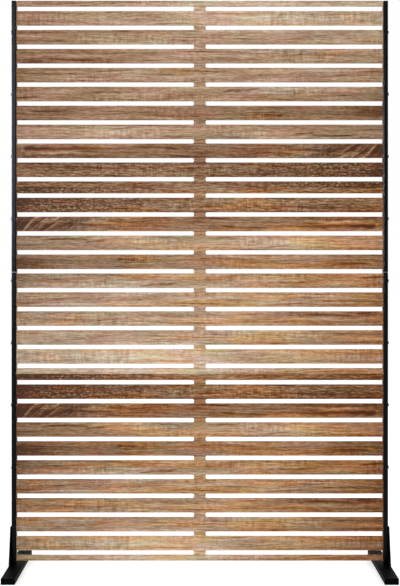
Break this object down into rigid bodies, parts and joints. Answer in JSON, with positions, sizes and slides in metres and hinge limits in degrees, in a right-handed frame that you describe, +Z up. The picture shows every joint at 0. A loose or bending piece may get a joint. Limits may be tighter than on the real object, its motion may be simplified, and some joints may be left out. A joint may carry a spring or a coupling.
{
  "type": "garden privacy screen",
  "caption": "Free-standing slotted steel screen with a wood-grain finish, stacked panels bolted between black side posts on box-tube feet.",
  "frame": {"origin": "on the ground, midway between the two feet and under the middle of the panels", "axes": "+X across the screen to the right as seen from the front, -Y the front face, +Z up"},
  "size_m": [1.241, 0.4, 1.8588],
  "materials": {
    "wood_print": "matt wood-grain printed powder coat on sheet steel",
    "black_coat": "satin fine-texture black powder coat",
    "black_plastic": "moulded black plastic",
    "black_bolts": "black-plated steel",
    "zinc_steel": "zinc-plated steel"
  },
  "bodies": {
    "root": {"panel_top": "wood_print", "panel_middle": "wood_print", "panel_bottom": "wood_print", "post_lower_left": "black_coat", "post_upper_left": "black_coat", "foot_tube_left": "black_coat", "foot_bracket_left": "black_coat", "foot_spigot_left": "black_coat", "post_cap_left": "black_plastic", "foot_cap_front_left": "black_plastic", "foot_cap_back_left": "black_plastic", "post_sleeve_left": "zinc_steel", "panel_bolts_left": "black_bolts", "bracket_bolt_left": "black_bolts", "spigot_bolt_left": "black_bolts", "post_lower_right": "black_coat", "post_upper_right": "black_coat", "foot_tube_right": "black_coat", "foot_bracket_right": "black_coat", "foot_spigot_right": "black_coat", "post_cap_right": "black_plastic", "foot_cap_front_right": "black_plastic", "foot_cap_back_right": "black_plastic", "post_sleeve_right": "zinc_steel", "panel_bolts_right": "black_bolts", "bracket_bolt_right": "black_bolts", "spigot_bolt_right": "black_bolts", "panel_top_rivet_nuts": "zinc_steel", "panel_middle_rivet_nuts": "zinc_steel", "panel_bottom_rivet_nuts": "zinc_steel"}
  },
  "joints": []
}
